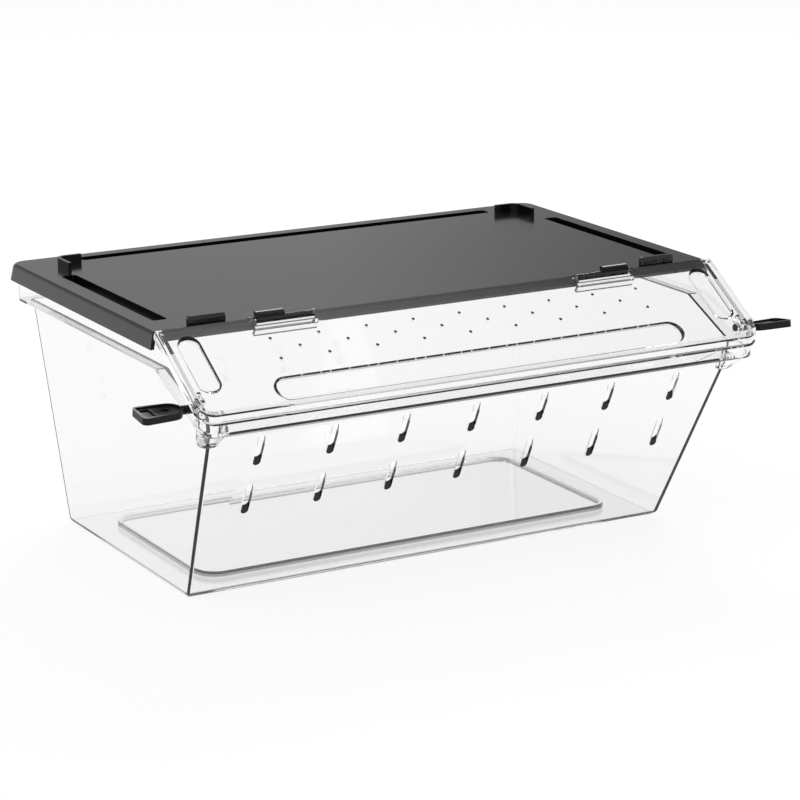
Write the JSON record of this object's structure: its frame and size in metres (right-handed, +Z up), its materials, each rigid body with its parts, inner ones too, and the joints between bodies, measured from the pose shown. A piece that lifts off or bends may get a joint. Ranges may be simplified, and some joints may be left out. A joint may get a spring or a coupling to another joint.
{
  "type": "reptile habitat box",
  "caption": "Clear tapered reptile habitat box with a black stacking lid, a sloped clear front door hinged on the lid and two black turn keys.",
  "frame": {"origin": "centre of the whole box's outline, at the level that the foot stands on", "axes": "+X to the right along the long side, -Y to the front where the door is, +Z up"},
  "size_m": [0.3702, 0.2314, 0.1446],
  "materials": {
    "clear_plastic": "polished, see-through",
    "gloss_black_plastic": "gloss",
    "satin_black_plastic": "satin"
  },
  "bodies": {
    "tub": {"tub": "clear_plastic"},
    "lid": {"lid": "gloss_black_plastic"},
    "door": {"door": "clear_plastic"},
    "left_key": {"left_key": "satin_black_plastic"},
    "right_key": {"right_key": "satin_black_plastic"}
  },
  "joints": [
    {"name": "lid_lift", "type": "slide", "parent": "tub", "child": "lid", "axis": [0, 0, 1], "range_m": [0, 0.06]},
    {"name": "door_hinge", "type": "hinge", "parent": "lid", "child": "door", "pos_m": [0, -0.06677, 0.14044], "axis": [-1, 0, 0], "range_deg": [0, 158]},
    {"name": "left_key_turn", "type": "hinge", "parent": "tub", "child": "left_key", "pos_m": [-0.1566, -0.10038, 0.11044], "axis": [-1, 0, 0], "range_deg": [0, 180]},
    {"name": "right_key_turn", "type": "hinge", "parent": "tub", "child": "right_key", "pos_m": [0.1566, -0.10038, 0.11044], "axis": [1, 0, 0], "range_deg": [0, 180]}
  ]
}
